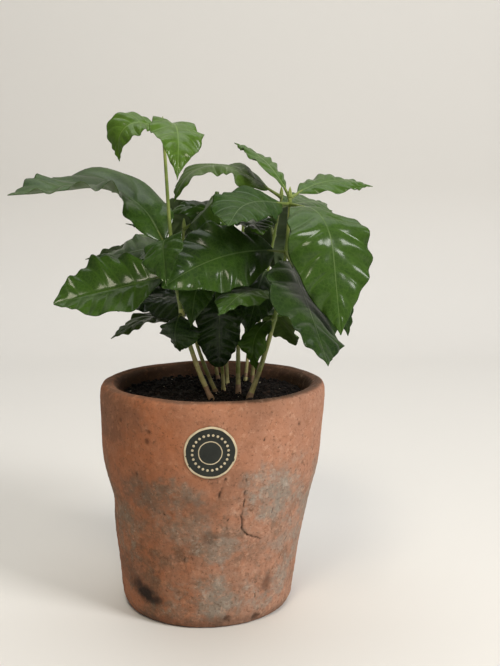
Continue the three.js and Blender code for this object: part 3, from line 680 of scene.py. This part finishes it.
def pot_profile():
    """The outline from the underside up the wall, over the lip and down inside, as heights with radii."""
    heights = np.linspace(POT_WALL[1][0], POT_WALL[-1][0], WALL_ROWS)
    rows = np.stack([heights, np.interp(heights, *zip(*POT_WALL))], -1)
    rows[2:-2, 1] = np.convolve(rows[:, 1], np.ones(5) / 5, "valid")
    lip = np.vstack([rows[-1], POT_LIP])
    share = np.linspace(0, len(POT_LIP), LIP_ROWS)
    lip = np.stack([np.interp(share, np.arange(len(lip)), lip[:, axis]) for axis in (0, 1)], -1)
    lip[1:-1] = (lip[:-2] + 2 * lip[1:-1] + lip[2:]) / 4
    return np.vstack([POT_FOOT, rows, lip[1:]])


def pot_headings():
    """Headings of the columns, which stand closer together round the front."""
    front = int(POT_COLUMNS * FRONT_SHARE)
    back = POT_COLUMNS - front
    near = FRONT - FRONT_SPAN / 2 + FRONT_SPAN * np.arange(front) / front
    far = FRONT + FRONT_SPAN / 2 + (360 - FRONT_SPAN) * np.arange(back) / back
    return np.concatenate([near, far])


def patches(found, angle, height, ragged, soft=0.35):
    """How strongly patches of the wall are marked: ovals whose edges a noise makes ragged."""
    total = np.zeros(np.broadcast(angle, height).shape)
    for heading, level, wide, tall, strength in found:
        away = signed(angle - heading) / wide
        up = (height - level) / tall
        near = 1 - np.sqrt(away * away + up * up)
        total = np.maximum(total, strength * smooth(0.1 - soft, 0.1 + soft, near + ragged))
    return total


def crack_cut(found, angle, height, draw):
    """How deep, from 0 to 1, a wandering crack cuts the wall."""
    share = np.linspace(0, 1, CRACK_STEPS)
    sway = np.array([0, *[draw(-1, 1) for _ in range(CRACK_BENDS - 2)], 0]) * found.wiggle
    wander = np.interp(share, np.linspace(0, 1, CRACK_BENDS), sway)
    wander[1:-1] = (wander[:-2] + wander[1:-1] + wander[2:]) / 3
    wander[1:-1] += [draw(-0.14, 0.14) * found.wiggle for _ in range(CRACK_STEPS - 2)]
    straight = lerp(np.array(found.start), np.array(found.end), share[:, None])
    course = straight + wander[:, None] * [0.7, 0.3]
    places = np.stack([angle, height], -1)
    near = np.all(np.abs(places - course.mean(0)) < np.ptp(course, axis=0) / 2 + 3, axis=-1)
    course = course * [DEGREE, 1]
    here = places[near] * [DEGREE, 1]
    best = np.full(len(here), np.inf)
    for a, b in zip(course[:-1], course[1:]):
        along = np.clip(((here - a) @ (b - a)) / ((b - a) @ (b - a)), 0, 1)
        best = np.minimum(best, np.linalg.norm(here - a - along[:, None] * (b - a), axis=-1))
    gaps = noise(np.column_stack([here, 0 * best]), 2.6, 17)
    cut = np.zeros(angle.shape)
    cut[near] = np.exp(-((best / found.half) ** 2)) * smooth(-1, -0.2, gaps - 2 * found.broken + 1)
    return cut


def cut_marks(sunk, angle, height, radius, ragged, upright):
    """Cut cracks and pits into the wall's sunk depths, and return the painted shade in them, from 0 to 1.
    """
    draw = seeded(7)
    # The painted shade in the cracks and pits.
    dark = np.zeros(height.shape)
    cracks = [*CRACKS]
    for _ in range(HAIR_CRACKS):
        start = [draw(-75, 75), draw(14, 128)]
        end = [start[0] + draw(-2, 2), start[1] - draw(1, 4)]
        cracks.append(Crack(start, end, 0.9, 0.3, 0.26, 0.6))
    for found in cracks:
        cut = crack_cut(found, angle, height, draw) * upright
        sunk += found.depth * cut
        dark = np.maximum(dark, 0.95 * cut)
    pits = [*PITS]
    for _ in range(SMALL_PITS):
        level = draw(4, 128)
        size = draw(0.25, 0.65)
        pits.append([draw(-180, 180), level, size, size * 0.55])
    for heading, level, size, deep in pits:
        away = signed(angle - heading) * np.radians(1) * radius
        cut = np.exp(-((away * away + (height - level) ** 2) / (size * size)) ** 1.5) * upright
        cut *= 1 + 0.5 * ragged
        sunk += deep * cut
        dark = np.maximum(dark, 0.6 * cut * min(1, size / 1.3))
    return dark


def pot():
    """The pot's skin, with the marks that its finish reads."""
    profile = pot_profile()
    rows, first = len(profile), len(POT_FOOT)
    height, radius = (np.repeat(column[:, None], POT_COLUMNS, axis=1) for column in profile.T)
    turn = np.broadcast_to(pot_headings(), height.shape)
    angle = signed(turn - FRONT)
    inside, upright = np.zeros(height.shape), np.zeros(height.shape)
    inside[first + WALL_ROWS + LIP_BEFORE_STAIN:] = 1
    upright[first - 2:first + WALL_ROWS + OUTER_LIP] = 1
    base = pot_shape(radius, turn, height)
    lower = 1 - smooth(78, 104, height)
    sunk = -(noises(base, LUMPS) + noises(base, GRAIN) * (1 + 1.2 * lower))
    ragged = noises(base, RAGGED)
    dark = cut_marks(sunk, angle, height, radius, ragged, upright)
    radius = radius - sunk * np.where(upright > 0, 1, 0.5) * np.where(height < 1, 0.2, 1)
    level = height + np.where(height > WAVY_FROM, noises(base, WAVES), 0)
    mould = np.minimum(1.15 * patches(MOULD, angle, height, 0.9 * ragged, 0.75), 1)
    # The right side of the wall, whose clay the finish paints lighter and pinker as painted light.
    side = smooth(-40, 40, angle + 30 * ragged) * (1 - smooth(105, 160, angle + 20 * ragged))
    top = smooth(POT_HEIGHT - 1.6, POT_HEIGHT - 0.3, height + 0.8 * ragged)
    stain = np.maximum(inside, (0.8 + 0.3 * side) * top)
    low = 1 - smooth(60, 100, height + 26 * ragged)
    marks = {
        "bloom": np.maximum(patches(BLOOM, angle, height, ragged) * upright, 0.3 * low),
        # Painted shade in the cracks and pits, with the real black mould.
        "dark": np.maximum(dark, mould * upright),
        "stain": np.maximum(patches(STAIN, angle, height, ragged), stain),
        "low": low,
        # The right side, painted lighter as if lit.
        "side": side,
    }
    skin = Skin()
    skin.add(pot_shape(radius, turn, level), grid_faces(rows, POT_COLUMNS, ring=True), "terracotta")
    skin.close(0, POT_COLUMNS, "terracotta", flip=True)
    skin.build("pot_clay", "terracotta", ["pot"], marks)


# Soil.

SOIL_RINGS = 56
SOIL_SIDES = 240
SOIL_SKIRT = 8
SOIL_LUMPS = [(0.9, 12, 11), (0.8, 4.2, 12), (0.5, 1.9, 13)]
CRUMBS = 3200
LARGE_CRUMB_EVERY = 12
LIGHT_CRUMB_EVERY = 5
PERLITE_EVERY = 97


def soil():
    """The bed of potting mix with its crumbs and a few pale grains."""
    skin = Skin()
    reach = SOIL_RADIUS * np.linspace(0.01, 1, SOIL_RINGS) ** 0.8
    heading = np.arange(SOIL_SIDES) / SOIL_SIDES * 360
    radius, turn = np.meshgrid(reach, heading, indexing="ij")
    bed = pot_shape(radius, turn, np.full(radius.shape, float(SOIL_LEVEL)))
    bed[..., 2] += noises(bed, SOIL_LUMPS) - 0.6 - 0.8 * smooth(0.9, 1, radius / SOIL_RADIUS)
    skirt = bed[-1:].copy()
    skirt[..., 2] = SOIL_LEVEL - SOIL_SKIRT
    faces = grid_faces(SOIL_RINGS, SOIL_SIDES, ring=True)[:, ::-1]
    skin.add(np.concatenate([bed, skirt]), faces, "potting_mix")
    below = grid_faces(2, SOIL_SIDES, ring=True)[:, TURNED] + (SOIL_RINGS - 1) * SOIL_SIDES
    skin.patch(below, "potting_mix")
    draw = seeded(19)
    for number in range(CRUMBS):
        away = SOIL_RADIUS * 0.96 * draw(0, 1) ** 0.5
        turn = draw(0, 2 * np.pi)
        size = draw(0.3, 0.8) if number % LARGE_CRUMB_EVERY else draw(0.8, 1.7)
        x = away * np.cos(turn) + POT_LEAN * SOIL_LEVEL
        centre = np.array([x, away * np.sin(turn), SOIL_LEVEL + draw(-0.5, 0.9)])
        kind = "crumb" if number % LIGHT_CRUMB_EVERY else "crumb_light"
        if number % PERLITE_EVERY == 0:
            kind, size = "perlite", draw(0.3, 0.7)
        lump(skin, centre, size, draw, kind)
    skin.build("soil_bed", "potting_mix", ["soil"])


def lump(skin, centre, size, draw, kind):
    """A small uneven crumb of six faces, each split into four."""
    stretch = np.array([draw(0.7, 1.2), draw(0.7, 1.2), draw(0.5, 0.9)])
    shift = draw(0, 50)
    u, v = np.meshgrid([-1, 0, 1], [-1, 0, 1], indexing="ij")
    faces = grid_faces(3, 3)
    for axis, end in product(range(3), (-1, 1)):
        corners = np.roll(np.stack([end + 0 * u, u, v], -1), axis, axis=-1)
        corners = corners / np.linalg.norm(corners, axis=-1, keepdims=True) ** 0.8
        corners *= 1 + 0.28 * noise(corners * 1.7 + shift, 1, 21)[..., None]
        skin.add(centre + corners * stretch * size, faces if end > 0 else faces[:, ::-1], kind)


# Label.

LABEL_SIDES = 96
LABEL_LIFT = 0.15
# Rings from the middle outwards, as share of the radius and height, and those that start a cream band.
LABEL_RINGS = [[0.05, 0.5], [0.3, 0.5], [0.42, 0.5], [0.455, 0.5], [0.6, 0.5], [0.75, 0.5], [0.925, 0.5],
               [0.955, 0.5], [0.985, 0.48], [1, 0.38], [1, 0.05]]
CREAM_RINGS = [2, 6, 7, 8, 9]
SCUFFED_RING = 6
DOTS = 24
DOT_SIDES = 10
DOT_PLACE = 0.68
# A dot's rings from its middle outwards, as radius and height.
DOT_RINGS = [[0.05, 0.62], [0.55, 0.6], [0.75, 0.55], [0.8, 0.42]]


def label():
    """A round dark sticker with a cream edge, an inner ring and a ring of dots."""
    skin = Skin()
    share, lift = np.array(LABEL_RINGS).T[..., None]
    angle = around(LABEL_SIDES)
    worn = 1 + 0.006 * np.sin(5 * angle + 1) + 0.004 * np.sin(13 * angle)
    reach = share * LABEL_RADIUS
    across, up = reach * np.cos(angle) * worn, reach * np.sin(angle) * worn
    names = np.full((len(LABEL_RINGS) - 1, LABEL_SIDES), "label_dark", object)
    names[CREAM_RINGS] = "label_cream"
    scuffed = noise(np.stack([across, up, 0 * up], -1), 3.2, 31)[SCUFFED_RING] > 0.42
    names[SCUFFED_RING][scuffed] = "label_dark"
    skin.add(on_wall(across, up, lift), grid_faces(*across.shape, ring=True), names.ravel())
    skin.close(0, LABEL_SIDES, "label_dark", flip=True)
    reach, lift = np.array(DOT_RINGS).T[..., None]
    angle = around(DOT_SIDES)
    for dot in range(DOTS):
        turn = (dot + 0.5) / DOTS * 2 * np.pi
        across, up = DOT_PLACE * LABEL_RADIUS * np.array([np.cos(turn), np.sin(turn)])
        corners = on_wall(across + reach * np.cos(angle), up + reach * np.sin(angle), lift)
        skin.add(corners, grid_faces(len(DOT_RINGS), DOT_SIDES, ring=True), "label_cream")
    skin.build("label_sticker", "label", ["label"])


def on_wall(across, up, lift):
    """Points on the pot's wall, at distances from the label's middle and a height over the wall."""
    height = LABEL_HEIGHT + up
    radius = np.interp(height, *zip(*POT_WALL)) + GAP + LABEL_LIFT + lift
    heading = np.radians(FRONT) + (across + LABEL_SHIFT) / radius
    return np.stack([radius * np.cos(heading) + POT_LEAN * height, radius * np.sin(heading), height], -1)


# Finishes. Colours are steps of 0 to 255 as they look on a screen, and patches and reliefs are in mm.

FINISHES = {}


def linear(colour):
    """A colour in the linear values that a render takes."""
    value = np.array(colour, float) / 255
    value = np.where(value <= 0.04045, value / 12.92, ((value + 0.055) / 1.055) ** 2.4)
    return [*value.tolist(), 1.0]


def scale_of(size):
    """The scale of a texture whose patches are about a size wide."""
    return 1 / (size * MM)


def mixed(colour, other, share):
    return tuple(lerp(np.array(colour), np.array(other), share))


def finish(name, colour, roughness, **values):
    """A new material under a name, with one colour and values for the shader's other sockets."""
    material = bpy.data.materials.new(name)
    material.use_nodes = True
    shader = material.node_tree.nodes["Principled BSDF"]
    shader.inputs["Base Color"].default_value = linear(colour)
    shader.inputs["Roughness"].default_value = roughness
    for key, value in values.items():
        shader.inputs[key.replace("_", " ")].default_value = value
    material.diffuse_color = linear(colour)
    FINISHES[name] = material
    return material


class Nodes:
    """Short ways to lay out a material's nodes."""

    def __init__(self, material):
        self.tree = material.node_tree
        self.shader = self.tree.nodes["Principled BSDF"]
        self.place = self.tree.nodes.new("ShaderNodeTexCoord").outputs["Object"]

    def feed(self, socket, source):
        """Give a socket a colour, a number or another node's output."""
        if isinstance(source, tuple):
            socket.default_value = linear(source)
        elif isinstance(source, (int, float)):
            socket.default_value = source
        else:
            self.tree.links.new(source, socket)

    def node(self, kind, **sources):
        """A new node of a kind, with its inputs fed."""
        made = self.tree.nodes.new(f"ShaderNode{kind}")
        for name, source in sources.items():
            self.feed(made.inputs[name.replace("_", " ")], source)
        return made

    def noise(self, scale, detail=3, rough=0.55):
        made = self.node("TexNoise", Vector=self.place, Scale=scale, Detail=detail, Roughness=rough)
        return made.outputs["Fac"]

    def net(self, size):
        """How far each place is from the nearest border of a net of cells of a size."""
        made = self.node("TexVoronoi", Vector=self.place, Scale=scale_of(size))
        made.feature = "DISTANCE_TO_EDGE"
        return made.outputs["Distance"]

    def steps(self, source, low, high, least=0.0, most=1.0):
        made = self.node("MapRange", Value=source, From_Min=low, From_Max=high, To_Min=least, To_Max=most)
        return made.outputs["Result"]

    def bump(self, height, depth):
        made = self.node("Bump", Strength=0.6, Distance=depth * MM, Height=height)
        self.feed(self.shader.inputs["Normal"], made.outputs["Normal"])

    def mark(self, name):
        made = self.node("Attribute")
        made.attribute_name = name
        return made.outputs["Fac"]

    def times(self, first, second):
        made = self.node("Math")
        made.operation = "MULTIPLY"
        made.use_clamp = True
        self.feed(made.inputs[0], first)
        self.feed(made.inputs[1], second)
        return made.outputs["Value"]

    def mix(self, share, first, second):
        """The first colour, covered by a share of the second."""
        made = self.node("Mix", Factor=share)
        made.data_type = "RGBA"
        sockets = [found for found in made.inputs if found.type == "RGBA"]
        self.feed(sockets[0], first)
        self.feed(sockets[1], second)
        return [found for found in made.outputs if found.type == "RGBA"][0]

    def colour(self, source):
        self.feed(self.shader.inputs["Base Color"], source)


def uneven(name, colour, other, roughness, size, relief, **values):
    """A finish whose colour drifts to another over patches of a size, with a fine relief."""
    nodes = Nodes(finish(name, colour, roughness, **{"Specular_IOR_Level": 0.3, **values}))
    drift = nodes.steps(nodes.noise(scale_of(size)), 0.35, 0.65)
    nodes.colour(nodes.mix(drift, colour, other))
    nodes.bump(nodes.noise(scale_of(0.12 * size), 2), relief)


GLOSS = {"Specular_IOR_Level": 0.06, "Coat_Weight": 0.36, "Coat_Roughness": 0.16}
# Tones whose upper face has a weaker coat than the others.
COATS = {"dark": 0.24, "calm": 0.1, "olive": 0.2}
NET_CELL = 2.4
DRIFT_TONE = (74, 104, 30)
MOTTLE_TONE = (12, 24, 8)
NET_TONE = (110, 136, 66)
# The other faces of a leaf: the colour that the leaf's tone leans to, its least and its greatest share,
# the roughness, the size of the patches and the relief.
LEAF_FACES = {
    "line": [(96, 122, 50), 0.1, 0.2, 0.5, 9, 0.03],
    "rib": [(128, 148, 70), 0.16, 0.34, 0.45, 12, 0.03],
    "under": [(112, 130, 80), 0.4, 0.55, 0.55, 12, 0.05],
    "stalk": [(132, 142, 70), 0.5, 0.8, 0.45, 7, 0.04],
}


def glossy(name, colour, coat):
    """The upper face of a leaf: dark green that drifts, with a faint net of fine veins."""
    nodes = Nodes(finish(name, colour, 0.5, **{**GLOSS, "Coat_Weight": coat}))
    drift = nodes.steps(nodes.noise(scale_of(14)), 0.35, 0.65)
    shade = nodes.mix(drift, colour, mixed(colour, DRIFT_TONE, 0.3))
    mottle = nodes.steps(nodes.noise(scale_of(5), 5, 0.7), 0.4, 0.62, 0, 0.42)
    shade = nodes.mix(mottle, shade, mixed(colour, MOTTLE_TONE, 0.45))
    net = nodes.net(NET_CELL)
    nodes.colour(nodes.mix(nodes.steps(net, 0, 0.14, 0.2, 0), shade, mixed(colour, NET_TONE, 0.6)))
    nodes.bump(net, 0.06)


def leaf_finishes():
    for name, tone in TONES.items():
        glossy(f"{name}_upper", tone, COATS.get(name, GLOSS["Coat_Weight"]))
        for face, (other, least, most, roughness, size, relief) in LEAF_FACES.items():
            values = GLOSS if face == "line" else {}
            low, high = mixed(tone, other, least), mixed(tone, other, most)
            uneven(f"{name}_{face}", low, high, roughness, size, relief, **values)


def wood_finishes():
    # Painted light: the three lower stem finishes are the stems' own colours made lighter, to lift them
    # where the leaves shade them.
    uneven("bark", (178, 144, 116), (136, 110, 84), 0.7, 3, 0.2)
    uneven("tan", (204, 196, 134), (166, 154, 98), 0.45, 4, 0.1, Coat_Weight=0.2)
    uneven("stem_light", (184, 188, 116), (150, 156, 82), 0.4, 8, 0.05, Coat_Weight=0.25)
    uneven("stem_green", (140, 153, 80), (108, 127, 60), 0.4, 10, 0.05, Coat_Weight=0.2)


# Layers of colour on the clay, as they are laid on: a noise's scale per metre, detail and roughness, the
# limits between which it comes on, its least and greatest cover, the mark that it keeps to, and its tone,
# or its tones on the left and on the right, the lighter right tone being painted light. A layer without a
# noise covers its mark evenly.
CLAY_LAYERS = [
    [(95, 5, 0.65), (0.45, 0.7), (0, 0.5), None, [(192, 130, 96)]],
    [(62, 7, 0.7), (0.44, 0.62), (0, 0.75), "low", [(166, 102, 68), (194, 136, 106)]],
    [(71, 9, 0.74), (0.48, 0.6), (0, 0.85), "low", [(98, 70, 50), (128, 92, 70)]],
    [(53, 10, 0.8), (0.4, 0.54), (0.15, 1), "bloom", [(117, 101, 84), (147, 134, 121)]],
    [(140, 8, 0.8), (0.52, 0.66), (0, 0.8), "bloom", [(156, 140, 120), (182, 172, 160)]],
    [None, None, (0, 0.8), "stain", [(90, 72, 59)]],
    [(190, 9, 0.8), (0.5, 0.64), (0, 0.6), None, [(104, 70, 50), (140, 98, 76)]],
    [(230, 6, 0.75), (0.53, 0.68), (0, 0.5), None, [(186, 130, 96), (212, 172, 146)]],
    [(520, 4, 0.7), (0.56, 0.68), (0, 0.65), None, [(88, 62, 46)]],
    [(450, 3, 0.6), (0.62, 0.76), (0, 0.5), "bloom", [(206, 180, 156)]],
    # Painted shade in the cracks and pits, with the real black mould, from the dark mark.
    [None, None, (0, 0.94), "dark", [(30, 24, 20)]],
]


def clay_finish():
    """Terracotta, with painted light that makes its right side lighter and pinker, and mottling that is
    strongest low on the wall.
    """
    nodes = Nodes(finish("terracotta", (165, 110, 82), 0.9, Specular_IOR_Level=0.25))
    marks = {name: nodes.mark(name) for name in ("low", "side", "bloom", "stain", "dark")}
    red = nodes.mix(nodes.steps(nodes.noise(24, 4), 0.35, 0.65), (166, 104, 70), (142, 92, 64))
    # Painted light: the right side is mixed toward a lighter, pinker clay, as if lit from the right.
    colour = nodes.mix(nodes.times(marks["side"], 0.8), red, (180, 134, 110))
    for grain, limits, cover, mark, tones in CLAY_LAYERS:
        share = nodes.steps(nodes.noise(*grain), *limits, *cover) if grain else cover[1]
        share = nodes.times(marks[mark], share) if mark else share
        # Painted light and shade: a layer with two tones is lighter on the right side.
        tone = nodes.mix(marks["side"], *tones) if len(tones) > 1 else tones[0]
        colour = nodes.mix(share, colour, tone)
    nodes.colour(colour)
    nodes.bump(nodes.noise(420, 6, 0.75), 1.2)


def soil_finishes():
    nodes = Nodes(finish("potting_mix", (24, 18, 14), 0.95, Specular_IOR_Level=0.2))
    nodes.colour(nodes.mix(nodes.steps(nodes.noise(420, 4), 0.4, 0.66), (15, 12, 10), (40, 29, 22)))
    uneven("crumb", (27, 20, 16), (18, 14, 11), 0.95, 5, 0.2)
    uneven("crumb_light", (52, 38, 29), (34, 25, 19), 0.9, 5, 0.2)
    uneven("perlite", (176, 166, 148), (140, 130, 114), 0.85, 2, 0.1)


def label_finishes():
    uneven("label_dark", (40, 43, 38), (32, 35, 31), 0.5, 6, 0.02)
    uneven("label_cream", (208, 194, 164), (184, 170, 140), 0.6, 4, 0.02)


# Studio.

CAMERA_PLACE = (0, -616, 264)
CAMERA_YAW = 2.56
CAMERA_PITCH = 8.63
CAMERA_LENS = 54.05
CAMERA_SENSOR = 36
# Lights: name, place, target, sides, power and colour, in metres and watts.
LIGHTS = [
    ["key", (1.3, -1.1, 1.35), (0, 0, 0.15), (0.55, 0.75), 30, (1, 0.98, 0.96)],
    ["window", (-0.16, -0.9, 1.32), (0, 0, 0.2), (0.32, 0.44), 8, (1, 0.91, 0.74)],
    ["sky", (0, 0.5, 2.2), (0, 0, 0.1), (2, 1.4), 20, (0.98, 0.99, 1)],
]
ROOM_COLOUR = (232, 232, 232)
ROOM_STRENGTH = 0.24
BACKDROP_WALL = 1100
BACKDROP_BEND = 260
BACKDROP_STEPS = 16
BACKDROP_REACH = 4000
BACKDROP_HALF = 5000


def backdrop():
    """A pale floor that curves up into a pale wall behind the plant."""
    finish("backdrop", (222, 220, 216), 0.6, Specular_IOR_Level=0.2)
    skin = Skin()
    turn = np.radians(np.linspace(0, 90, BACKDROP_STEPS + 1))
    bend = [BACKDROP_WALL, 0] + BACKDROP_BEND * np.stack([np.sin(turn) - 1, 1 - np.cos(turn)], -1)
    course = [[-BACKDROP_REACH, 0], [-1500, 0], [0, 0], *bend, [BACKDROP_WALL, BACKDROP_REACH]]
    corners = [[across, along, up] for along, up in course for across in (-BACKDROP_HALF, BACKDROP_HALF)]
    skin.add(corners, grid_faces(len(course), 2)[:, ::-1], "backdrop")
    skin.build("backdrop", None, None)


def stand(name, data, place, turn):
    """A light or a camera at a place in metres, turned about the three axes."""
    made = bpy.data.objects.new(name, data)
    made.location = place
    made.rotation_euler = turn
    bpy.context.scene.collection.objects.link(made)
    return made


def area_light(name, place, target, sides, power, colour):
    data = bpy.data.lights.new(name, "AREA")
    data.shape = "RECTANGLE"
    data.size, data.size_y = sides
    data.energy = power
    data.color = colour
    x, y, z = np.subtract(target, place)
    turn = (np.pi / 2 + np.arctan2(z, np.hypot(x, y)), 0, -np.arctan2(x, y))
    stand(name, data, place, turn)


def room():
    world = bpy.data.worlds.new("room")
    world.use_nodes = True
    background = world.node_tree.nodes["Background"]
    background.inputs["Color"].default_value = linear(ROOM_COLOUR)
    background.inputs["Strength"].default_value = ROOM_STRENGTH
    bpy.context.scene.world = world


def camera():
    data = bpy.data.cameras.new("camera")
    data.lens = CAMERA_LENS
    data.sensor_width = CAMERA_SENSOR
    turn = (np.radians(90 - CAMERA_PITCH), 0, -np.radians(CAMERA_YAW))
    bpy.context.scene.camera = stand("camera", data, np.array(CAMERA_PLACE) * MM, turn)


def studio():
    bpy.context.scene.view_settings.view_transform = "Standard"
    backdrop()
    for light in LIGHTS:
        area_light(*light)
    room()
    camera()


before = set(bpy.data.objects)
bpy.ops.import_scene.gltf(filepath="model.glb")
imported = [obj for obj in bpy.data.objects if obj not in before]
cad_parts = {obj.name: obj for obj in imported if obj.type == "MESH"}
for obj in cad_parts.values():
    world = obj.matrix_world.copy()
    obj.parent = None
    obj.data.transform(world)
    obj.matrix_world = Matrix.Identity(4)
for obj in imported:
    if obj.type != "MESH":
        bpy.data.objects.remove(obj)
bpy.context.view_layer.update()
leaf_finishes()
wood_finishes()
clay_finish()
soil_finishes()
label_finishes()
plant()
pot()
soil()
label()
studio()
